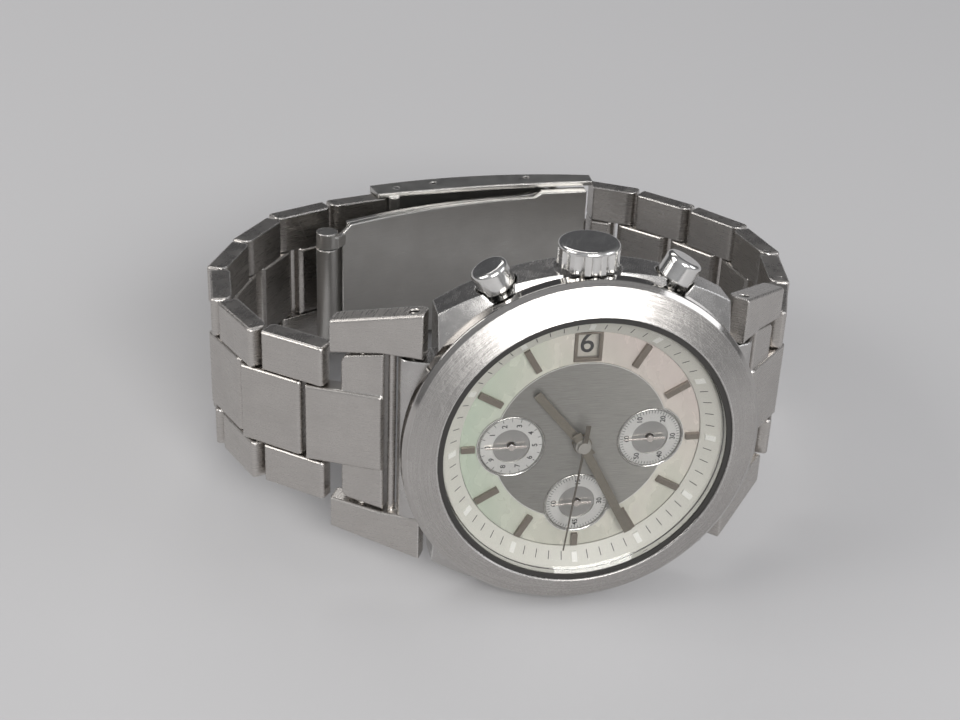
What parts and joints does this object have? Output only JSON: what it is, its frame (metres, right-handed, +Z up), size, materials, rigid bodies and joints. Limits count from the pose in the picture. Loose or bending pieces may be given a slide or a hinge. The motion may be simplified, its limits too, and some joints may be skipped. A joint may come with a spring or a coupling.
{
  "type": "chronograph wristwatch",
  "caption": "Round steel chronograph wristwatch with crown, two push-buttons, small dials and a hinged link bracelet closed by a folding clasp.",
  "frame": {"origin": "centre of the bounding box at the height of the surface the watch stands on", "axes": "+Z up, the crown side; the dial faces -Y and leans back; +X is the 6 o'clock side"},
  "size_m": [0.0676, 0.0586, 0.0409],
  "materials": {
    "satin_steel": "satin brushed stainless steel",
    "bezel_steel": "circularly brushed stainless steel",
    "polished_steel": "polished stainless steel",
    "glass": "clear",
    "gasket": "dull black",
    "flange": "pale silver",
    "dial_grey": "brushed grey",
    "pearl": "pearly",
    "silver": "turned silver",
    "hand_bronze": "satin grey brown",
    "pale_hand": "pale silver",
    "plastic": "off-white moulding",
    "brass": "plain",
    "board": "green circuit board",
    "copper": "enamelled copper winding",
    "white_disc": "printed white"
  },
  "bodies": {
    "case": {"mid_case": "satin_steel", "bezel": "bezel_steel", "crystal": "glass", "crystal_gasket": "gasket", "minute_ring": "flange", "hour_pips": "white_disc", "dial_plate": "dial_grey", "dial_centre": "dial_grey", "pearl_ring": "pearl", "subdial_rings": "silver", "subdial_discs": "dial_grey", "subdial_lips": "polished_steel", "hour_markers": "hand_bronze", "date_frame": "hand_bronze", "main_plate": "brass", "circuit_board": "board", "battery": "polished_steel", "motor_coils": "copper", "movement_holder": "plastic", "case_back": "satin_steel", "case_back_gasket": "gasket", "crown_tube": "polished_steel", "pusher_sleeves": "polished_steel", "spring_bars": "polished_steel"},
    "minute": {"minute_hand": "hand_bronze", "cannon_pinion": "brass"},
    "hour": {"hour_hand": "hand_bronze", "hour_wheel": "brass"},
    "minute_wheel": {"minute_wheel": "brass"},
    "date": {"date_disc": "white_disc"},
    "seconds": {"seconds_hand": "pale_hand"},
    "tenths": {"tenths_hand": "pale_hand"},
    "small_seconds": {"small_seconds_hand": "pale_hand"},
    "chrono_minute": {"chrono_minute_hand": "pale_hand"},
    "setting_lever": {"setting_lever": "polished_steel"},
    "crown": {"crown": "polished_steel", "winding_stem": "polished_steel"},
    "pusher_2": {"pusher_2": "polished_steel"},
    "pusher_4": {"pusher_4": "polished_steel"},
    "clasp_cover": {"clasp_cover": "satin_steel", "clasp_spring_bar": "polished_steel"},
    "blade_outer": {"clasp_blade_outer": "satin_steel"},
    "blade_inner": {"clasp_blade_inner": "satin_steel"},
    "link_12_1": {"link_12_1": "satin_steel"},
    "link_12_2": {"link_12_2": "satin_steel"},
    "link_12_3": {"link_12_3": "satin_steel"},
    "link_12_4": {"link_12_4": "satin_steel"},
    "link_12_5": {"link_12_5": "satin_steel"},
    "link_12_6": {"link_12_6": "satin_steel"},
    "link_12_7": {"link_12_7": "satin_steel"},
    "link_12_8": {"link_12_8": "satin_steel"},
    "link_6_1": {"link_6_1": "satin_steel"},
    "link_6_2": {"link_6_2": "satin_steel"},
    "link_6_3": {"link_6_3": "satin_steel"},
    "link_6_4": {"link_6_4": "satin_steel"},
    "link_6_5": {"link_6_5": "satin_steel"},
    "link_6_6": {"link_6_6": "satin_steel"},
    "link_6_7": {"link_6_7": "satin_steel"}
  },
  "joints": [
    {"name": "minute_spin", "type": "hinge", "parent": "case", "child": "minute", "pos_m": [0.00352, -0.02428, 0.01976], "axis": [0, 0.9813, -0.1927], "continuous": true},
    {"name": "hour_spin", "type": "hinge", "parent": "case", "child": "hour", "pos_m": [0.00352, -0.02428, 0.01976], "axis": [0, 0.9813, -0.1927], "continuous": true},
    {"name": "minute_wheel_spin", "type": "hinge", "parent": "case", "child": "minute_wheel", "pos_m": [0.00533, -0.02203, 0.02087], "axis": [0, 0.9813, -0.1927], "continuous": true},
    {"name": "date_spin", "type": "hinge", "parent": "case", "child": "date", "pos_m": [0.00352, -0.02291, 0.01949], "axis": [0, 0.9813, -0.1927], "continuous": true},
    {"name": "small_seconds_spin", "type": "hinge", "parent": "case", "child": "small_seconds", "pos_m": [0.01095, -0.02389, 0.01968], "axis": [0, 0.9813, -0.1927], "continuous": true},
    {"name": "seconds_spin", "type": "hinge", "parent": "case", "child": "seconds", "pos_m": [0.00352, -0.02487, 0.01988], "axis": [0, 0.9813, -0.1927], "continuous": true},
    {"name": "tenths_spin", "type": "hinge", "parent": "case", "child": "tenths", "pos_m": [-0.00391, -0.02389, 0.01968], "axis": [0, 0.9813, -0.1927], "continuous": true},
    {"name": "chrono_minute_spin", "type": "hinge", "parent": "case", "child": "chrono_minute", "pos_m": [0.00352, -0.02532, 0.01239], "axis": [0, 0.9813, -0.1927], "continuous": true},
    {"name": "crown_pull", "type": "slide", "parent": "case", "child": "setting_lever", "axis": [0, 0.1927, 0.9813], "range_m": [0, 0.001]},
    {"name": "crown_turn", "type": "hinge", "parent": "setting_lever", "child": "crown", "pos_m": [0.00352, -0.01816, 0.03385], "axis": [0, 0.1927, 0.9813], "continuous": true},
    {"name": "pusher_2_press", "type": "slide", "parent": "case", "child": "pusher_2", "axis": [0.4695, -0.1701, -0.8664], "range_m": [0, 0.0009], "stiffness_N_per_m": 900},
    {"name": "pusher_4_press", "type": "slide", "parent": "case", "child": "pusher_4", "axis": [-0.4695, -0.1701, -0.8664], "range_m": [0, 0.0009], "stiffness_N_per_m": 900},
    {"name": "hinge_12_1", "type": "hinge", "parent": "case", "child": "link_12_1", "pos_m": [-0.01378, -0.02006, 0.01893], "axis": [0, 0.1927, 0.9813], "range_deg": [0, 15]},
    {"name": "hinge_12_2", "type": "hinge", "parent": "link_12_1", "child": "link_12_2", "pos_m": [-0.02298, -0.01576, 0.01809], "axis": [0, 0.1927, 0.9813], "range_deg": [0, 13.5]},
    {"name": "hinge_12_3", "type": "hinge", "parent": "link_12_2", "child": "link_12_3", "pos_m": [-0.02928, -0.01075, 0.0171], "axis": [0, 0.1927, 0.9813], "range_deg": [0, 28.5]},
    {"name": "hinge_12_4", "type": "hinge", "parent": "link_12_3", "child": "link_12_4", "pos_m": [-0.03238, -0.00341, 0.01566], "axis": [0, 0.1927, 0.9813], "range_deg": [0, 23.5]},
    {"name": "hinge_12_5", "type": "hinge", "parent": "link_12_4", "child": "link_12_5", "pos_m": [-0.03223, 0.00454, 0.0141], "axis": [0, 0.1927, 0.9813], "range_deg": [0, 23]},
    {"name": "hinge_12_6", "type": "hinge", "parent": "link_12_5", "child": "link_12_6", "pos_m": [-0.02894, 0.0118, 0.01268], "axis": [0, 0.1927, 0.9813], "range_deg": [0, 11]},
    {"name": "hinge_12_7", "type": "hinge", "parent": "link_12_6", "child": "link_12_7", "pos_m": [-0.02429, 0.01831, 0.0114], "axis": [0, 0.1927, 0.9813], "range_deg": [0, 29]},
    {"name": "hinge_12_8", "type": "hinge", "parent": "link_12_7", "child": "link_12_8", "pos_m": [-0.01701, 0.02179, 0.01071], "axis": [0, 0.1927, 0.9813], "range_deg": [0, 10]},
    {"name": "clasp_adjust_pivot", "type": "hinge", "parent": "link_12_8", "child": "clasp_cover", "pos_m": [-0.00923, 0.02398, 0.01028], "axis": [0, -0.1927, -0.9813], "range_deg": [0, 4]},
    {"name": "cover_hinge", "type": "hinge", "parent": "clasp_cover", "child": "blade_outer", "pos_m": [0.01153, 0.02527, 0.01003], "axis": [0, 0.1927, 0.9813], "range_deg": [0, 90]},
    {"name": "fold_hinge", "type": "hinge", "parent": "blade_outer", "child": "blade_inner", "pos_m": [-0.01897, 0.01497, 0.01205], "axis": [0, -0.1927, -0.9813], "range_deg": [0, 75]},
    {"name": "hinge_6_1", "type": "hinge", "parent": "case", "child": "link_6_1", "pos_m": [0.02082, -0.02006, 0.01893], "axis": [0, -0.1927, -0.9813], "range_deg": [0, 25]},
    {"name": "hinge_6_2", "type": "hinge", "parent": "link_6_1", "child": "link_6_2", "pos_m": [0.02791, -0.01286, 0.01752], "axis": [0, -0.1927, -0.9813], "range_deg": [0, 22]},
    {"name": "hinge_6_3", "type": "hinge", "parent": "link_6_2", "child": "link_6_3", "pos_m": [0.03095, -0.0055, 0.01607], "axis": [0, -0.1927, -0.9813], "range_deg": [0, 11]},
    {"name": "hinge_6_4", "type": "hinge", "parent": "link_6_3", "child": "link_6_4", "pos_m": [0.03249, 0.00231, 0.01454], "axis": [0, -0.1927, -0.9813], "range_deg": [0, 20]},
    {"name": "hinge_6_5", "type": "hinge", "parent": "link_6_4", "child": "link_6_5", "pos_m": [0.03122, 0.01016, 0.013], "axis": [0, -0.1927, -0.9813], "range_deg": [0, 25.5]},
    {"name": "hinge_6_6", "type": "hinge", "parent": "link_6_5", "child": "link_6_6", "pos_m": [0.02663, 0.01671, 0.01171], "axis": [0, -0.1927, -0.9813], "range_deg": [0, 8]},
    {"name": "hinge_6_7", "type": "hinge", "parent": "link_6_6", "child": "link_6_7", "pos_m": [0.02116, 0.02257, 0.01056], "axis": [0, -0.1927, -0.9813], "range_deg": [0, 17.5]}
  ],
  "couplings": [
    {"joint": "minute_spin", "follows": "small_seconds_spin", "ratio": 0.016667},
    {"joint": "hour_spin", "follows": "small_seconds_spin", "ratio": 0.0013889},
    {"joint": "minute_wheel_spin", "follows": "small_seconds_spin", "ratio": -0.0071429},
    {"joint": "seconds_spin", "follows": "tenths_spin", "ratio": 0.016667},
    {"joint": "chrono_minute_spin", "follows": "tenths_spin", "ratio": 0.00027778}
  ]
}
